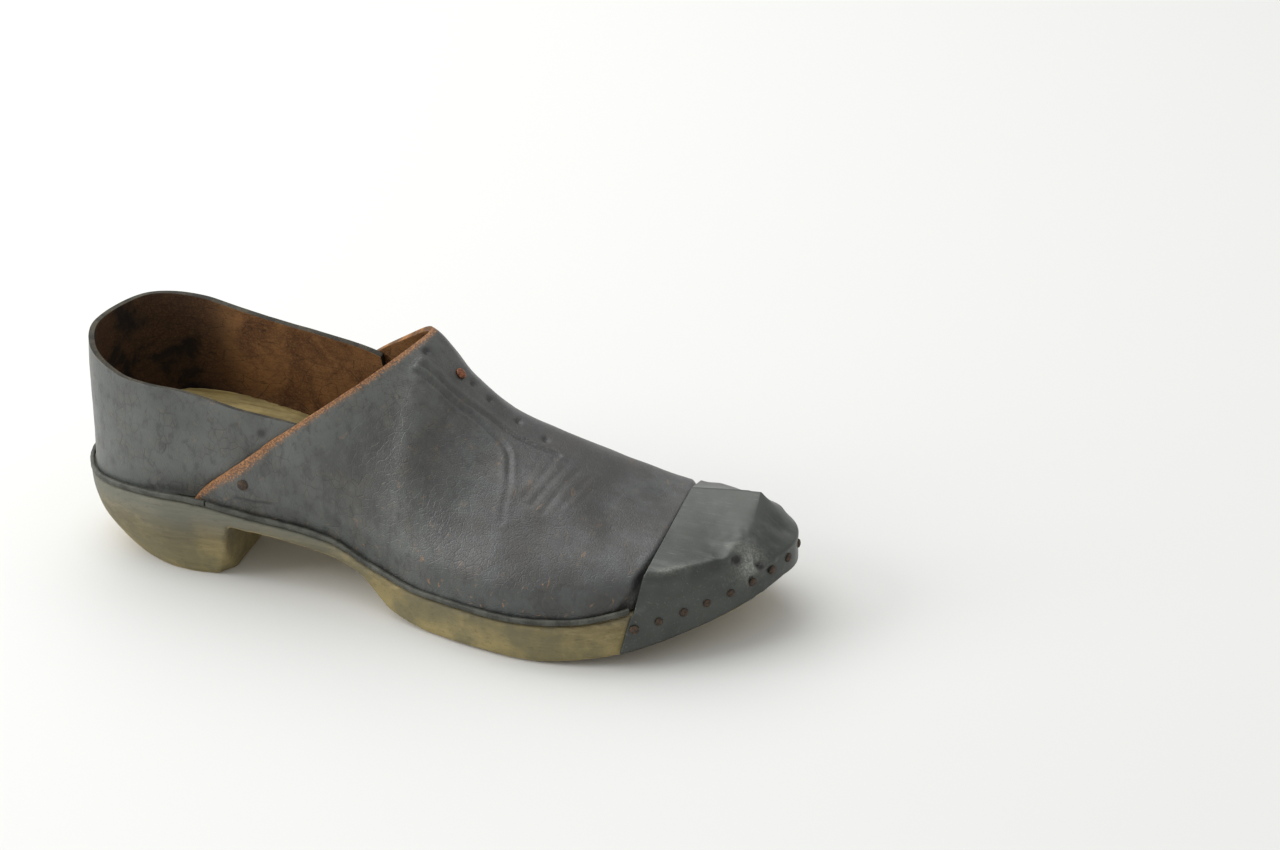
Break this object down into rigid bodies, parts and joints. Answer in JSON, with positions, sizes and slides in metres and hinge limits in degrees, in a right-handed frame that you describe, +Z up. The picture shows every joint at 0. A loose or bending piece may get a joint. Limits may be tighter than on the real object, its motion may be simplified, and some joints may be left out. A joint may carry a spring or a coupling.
{
  "type": "wooden clog",
  "caption": "Right-foot clog with a carved wooden sole and heel in one piece, a nailed leather vamp and back quarter with rands, and a sheet-iron toe cap",
  "frame": {"origin": "on the ground, under the middle of the clog's bounding box", "axes": "+X from heel to toe, +Y to the inner (medial) side of the foot, +Z up"},
  "size_m": [0.2738, 0.0988, 0.0931],
  "materials": {
    "sole_wood": "worn bare wood, straw to olive brown, darker near the feather edge",
    "upper_leather": "blackened greased leather with a satin sheen, raw edges tan",
    "rand_leather": "blackened leather strip, scuffed",
    "sheet_iron": "blackened sheet iron, satin, worn bright at the folds",
    "nail_iron": "rusty hand-made nails",
    "rivet_copper": "tarnished copper"
  },
  "bodies": {
    "root": {"sole": "sole_wood", "vamp": "upper_leather", "back_quarter": "upper_leather", "heel_rand": "rand_leather", "vamp_rand_lateral": "rand_leather", "vamp_rand_medial": "rand_leather", "toe_cap": "sheet_iron", "cap_nail_1": "nail_iron", "cap_nail_2": "nail_iron", "cap_nail_3": "nail_iron", "cap_nail_4": "nail_iron", "cap_nail_5": "nail_iron", "cap_nail_6": "nail_iron", "cap_nail_7": "nail_iron", "cap_nail_8": "nail_iron", "cap_nail_9": "nail_iron", "cap_nail_10": "nail_iron", "cap_nail_11": "nail_iron", "cap_nail_12": "nail_iron", "cap_nail_13": "nail_iron", "cap_nail_14": "nail_iron", "cap_nail_15": "nail_iron", "hobnail_1": "nail_iron", "hobnail_2": "nail_iron", "hobnail_3": "nail_iron", "hobnail_4": "nail_iron", "hobnail_5": "nail_iron", "hobnail_6": "nail_iron", "hobnail_7": "nail_iron", "hobnail_8": "nail_iron", "hobnail_9": "nail_iron", "hobnail_10": "nail_iron", "hobnail_11": "nail_iron", "hobnail_12": "nail_iron", "hobnail_13": "nail_iron", "hobnail_14": "nail_iron", "hobnail_15": "nail_iron", "hobnail_16": "nail_iron", "hobnail_17": "nail_iron", "hobnail_18": "nail_iron", "hobnail_19": "nail_iron", "hobnail_20": "nail_iron", "hobnail_21": "nail_iron", "hobnail_22": "nail_iron", "hobnail_23": "nail_iron", "hobnail_24": "nail_iron", "hobnail_25": "nail_iron", "hobnail_26": "nail_iron", "hobnail_27": "nail_iron", "heel_nail_1": "nail_iron", "heel_nail_2": "nail_iron", "heel_nail_3": "nail_iron", "heel_nail_4": "nail_iron", "heel_nail_5": "nail_iron", "heel_nail_6": "nail_iron", "heel_nail_7": "nail_iron", "heel_nail_8": "nail_iron", "instep_rivet": "rivet_copper", "tip_rivet_lateral": "nail_iron", "tip_rivet_medial": "nail_iron"}
  },
  "joints": []
}
